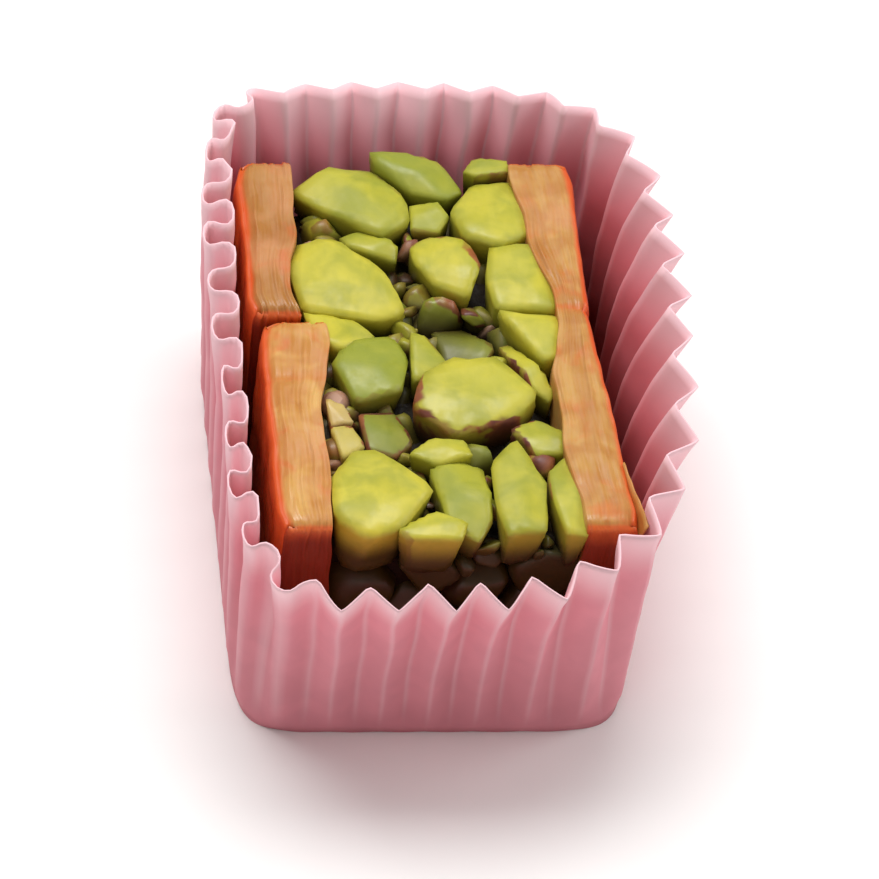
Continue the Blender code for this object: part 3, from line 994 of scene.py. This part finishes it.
def pistachio_material(settings):
    made, tree, shader = new_material(
        "Pistachio",
        {
            "Specular IOR Level": 0.5,
            "Subsurface Weight": 0.15,
            "Subsurface Radius": (0.7, 0.7, 0.2),
            "Subsurface Scale": 1.5 * MM,
            "Coat Weight": 0.1,
            "Coat Roughness": 0.3,
        },
    )
    skin, tone, brown, rim = (attribute(tree, key) for key in ("skin", "tone", "brown", "rim"))
    cloudy = mottle(tree, 3.2 * MM, 0.3, 0.7)
    shade = calc(tree, "MULTIPLY_ADD", calc(tree, "SUBTRACT", cloudy, 0.5), 0.22, tone, clamp=True)
    flesh = mix(tree, shade, settings.pale, settings.green)
    streaks = spread(tree, speckle(tree, object_place(tree, (1, 0.3, 1)), 0.9 * MM, 2.0), 0.45, 0.7)
    flesh = tint(tree, flesh, streaks, 0.15, settings.green)
    flesh = tint(tree, flesh, rim, calc(tree, "MULTIPLY_ADD", cloudy, 0.35, 0.08), settings.edge)
    flesh = mix(tree, spread(tree, tone, -0.4, -0.1, 1.0, 0.0), flesh, settings.cream)
    patchy = mottle(tree, 2.4 * MM, 0.36, 0.6)
    left_on = calc(tree, "MULTIPLY", brown, calc(tree, "ADD", patchy, 0.45), clamp=True)
    outside = calc(tree, "MULTIPLY", spread(tree, skin, 0.04, 0.3), left_on)
    skins = mix(tree, cloudy, settings.skin, settings.bright_skin)
    base = mix(tree, outside, flesh, skins)
    # Painted shade: kernels darken with depth below the cut face, partly syrup soak.
    deep = depth_below(tree, BAR_TOP, 0.8 * MM, 4.4 * MM)
    base = tint(tree, base, deep, 0.93, settings.deep)
    film = use_group(tree, syrup_group(), Size=3 * MM, Wet=0.38, Dry=0.62)
    feed(tree, shader, base, film.outputs["Roughness"], film.outputs["Height"], 0.05 * MM, 0.35)
    return made


def core_material(settings):
    made, tree, shader = new_material("Syrup, crumbs and painted shade", {"Specular IOR Level": 0.3})
    # Near black: syrup and crumbs darkened as painted shade deep in the gaps.
    base = tint(tree, settings.gap, mottle(tree, 1.6 * MM, 0.4, 0.62), 0.4, settings.deep)
    film = use_group(tree, syrup_group(), Size=2 * MM, Wet=0.45, Dry=0.7)
    feed(tree, shader, base, film.outputs["Roughness"], film.outputs["Height"], 0.2 * MM, 0.6)
    return made


def make_core(settings):
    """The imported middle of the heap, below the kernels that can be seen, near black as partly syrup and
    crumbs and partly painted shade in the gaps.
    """
    low, high = HEAP_LOW + CORE_INSET, HEAP_HIGH - CORE_INSET
    high.z = BAR_TOP - CORE_DEPTH
    core = block(low, high, (0.8 * MM, 0.8 * MM, 1.2 * MM))
    for vertex in core.verts:
        place = vertex.co.copy()
        swell = 0.7 * MM * ripple(place, 2.4 * MM) + 0.3 * MM * ripple(place, 1.1 * MM, 5)
        if place.z > high.z - ON_FACE:
            vertex.co.z += swell
        if place.y < low.y + ON_FACE:
            vertex.co.y -= swell
        if place.y > high.y - ON_FACE:
            vertex.co.y += swell
    return finish_piece("core", core, core_material(settings))


# ---------------------------------------------------------------- stage

AIM = Vector((MIDDLE_X + 2.5 * MM, MIDDLE_Y, 11.5 * MM))  # what the camera and the lamps point at
CAMERA_WAY = Vector((-0.129, -0.753, 0.783)).normalized()
SKY_STRENGTH = 0.24

# Each lamp's place and size in metres, and its power in watts
LAMPS = {
    "overhead": ((-0.15, 0.35, 1.1), (0.9, 0.6), 12.5),
    "front": ((-0.5, -1.0, 0.9), (0.8, 0.8), 1.4),
    "right": ((0.9, 0.1, 0.7), (0.6, 0.8), 4.2),
}


def make_floor(settings):
    made, tree, shader = new_material("Floor", {"Roughness": 0.7, "Specular IOR Level": 0.2})
    shade = tuple(0.9 * c for c in settings.floor)
    feed(tree, shader, tint(tree, settings.floor, mottle(tree, 80 * MM, 0.3, 0.7), 0.08, shade))
    sheet = bmesh.new()
    bmesh.ops.create_grid(sheet, x_segments=2, y_segments=2, size=4)
    mesh = bpy.data.meshes.new("floor")
    sheet.to_mesh(mesh)
    sheet.free()
    mesh.materials.append(made)
    floor = bpy.data.objects.new("floor", mesh)
    bpy.context.scene.collection.objects.link(floor)


def aim(thing, place):
    """Puts a camera or lamp at a place and points it at the bar, with the X axis level in its view."""
    level = Vector((1, 0, 0))
    back = (place - AIM).normalized()
    right = (level - back * level.dot(back)).normalized()
    up = back.cross(right)
    thing.matrix_world = Matrix.Translation(place) @ Matrix((right, up, back)).transposed().to_4x4()


def make_lamp(name, place, size, power):
    data = bpy.data.lights.new(name, "AREA")
    data.shape = "RECTANGLE"
    data.size, data.size_y = size
    data.energy = power
    lamp = bpy.data.objects.new(name, data)
    bpy.context.scene.collection.objects.link(lamp)
    aim(lamp, Vector(place))


def make_stage(settings):
    scene = bpy.context.scene
    make_floor(settings)
    for name, (place, size, power) in LAMPS.items():
        make_lamp(name, place, size, power)
    world = bpy.data.worlds.new("studio")
    world.use_nodes = True
    sky = world.node_tree.nodes["Background"].inputs
    sky["Color"].default_value = (1, 1, 1, 1)
    sky["Strength"].default_value = SKY_STRENGTH
    scene.world = world
    data = bpy.data.cameras.new("camera")
    data.sensor_width = 36
    data.lens = settings.lens
    data.clip_start = 0.05
    camera = bpy.data.objects.new("camera", data)
    scene.collection.objects.link(camera)
    aim(camera, AIM + CAMERA_WAY * settings.distance)
    scene.camera = camera
    scene.view_settings.view_transform = "Standard"
    scene.view_settings.look = "None"


# ---------------------------------------------------------------- operators


class BAKLAVA_OT_case(bpy.types.Operator):
    """Make the fluted paper case"""

    bl_idname = "baklava.case"
    bl_label = "Paper Case"

    def execute(self, context):
        make_case(context.scene.baklava_case)
        return {"FINISHED"}


class BAKLAVA_OT_crusts(bpy.types.Operator):
    """Make the slabs of baked phyllo on both sides of the nuts"""

    bl_idname = "baklava.crusts"
    bl_label = "Phyllo Crusts"

    def execute(self, context):
        settings = context.scene.baklava_crust
        front = crust_material("Top crust, front", settings, 1.0, 0.0)
        # The back copy is darker, as painted shade on the back slab, and warmer.
        back = crust_material("Top crust, back", settings, 0.8, 0.4)
        right = crust_material("Bottom crust", settings, 0.9, 0.15)
        make_crust("top_crust_front", "left_crust_front", 1, settings, front, [(0, -1.2, 16)], (-4.6, 0.4))
        make_crust("top_crust_back", "left_crust_back", 1, settings, back, [(8, 1.1, 14)])
        dents = [(4, 1.9, 20), (22, -1.2, 12), (-15, -0.5, 12)]
        make_crust("bottom_crust", "right_crust", -1, settings, right, dents, (4.2, 1.0), 0.35 * MM)
        make_loose_leaf(front)
        return {"FINISHED"}


class BAKLAVA_OT_nuts(bpy.types.Operator):
    """Make the chopped pistachios over their core"""

    bl_idname = "baklava.nuts"
    bl_label = "Pistachios"

    def execute(self, context):
        settings = context.scene.baklava_nuts
        material = pistachio_material(settings)
        draw = random.Random(settings.seed)
        top = [shape_top_nut(spec, draw) for spec in TOP_NUTS]
        make_core(settings)
        make_nuts("cut_kernels", top, material, ["pistachio_filling"])
        make_nuts("filler_kernels", press_together(top, filler_nuts(settings)), material)
        make_nuts("chips", chips(settings, top), material)
        return {"FINISHED"}


class BAKLAVA_OT_stage(bpy.types.Operator):
    """Make the floor, lamps, background and camera"""

    bl_idname = "baklava.stage"
    bl_label = "Stage"

    def execute(self, context):
        make_stage(context.scene.baklava_stage)
        return {"FINISHED"}


OPERATORS = (BAKLAVA_OT_case, BAKLAVA_OT_crusts, BAKLAVA_OT_nuts, BAKLAVA_OT_stage)


class BAKLAVA_PT_sidebar(bpy.types.Panel):
    """Lists the steps that make the bar, and their settings"""

    bl_idname = "BAKLAVA_PT_sidebar"
    bl_label = "Baklava"
    bl_space_type = "VIEW_3D"
    bl_region_type = "UI"
    bl_category = "Baklava"

    def draw(self, context):
        for operator in OPERATORS:
            self.layout.operator(operator.bl_idname)
        for name, settings in SETTINGS.items():
            box = self.layout.box()
            for key in settings.__annotations__:
                box.prop(getattr(context.scene, name), key)


def register():
    for name, settings in SETTINGS.items():
        bpy.utils.register_class(settings)
        setattr(bpy.types.Scene, name, PointerProperty(type=settings))
    for made in (*OPERATORS, BAKLAVA_PT_sidebar):
        bpy.utils.register_class(made)


def unregister():
    for made in reversed((*OPERATORS, BAKLAVA_PT_sidebar)):
        bpy.utils.unregister_class(made)
    for name, settings in SETTINGS.items():
        delattr(bpy.types.Scene, name)
        bpy.utils.unregister_class(settings)


def main():
    register()
    bpy.ops.baklava.stage()
    bpy.ops.baklava.case()
    bpy.ops.baklava.crusts()
    bpy.ops.baklava.nuts()


if __name__ == "__main__":
    main()
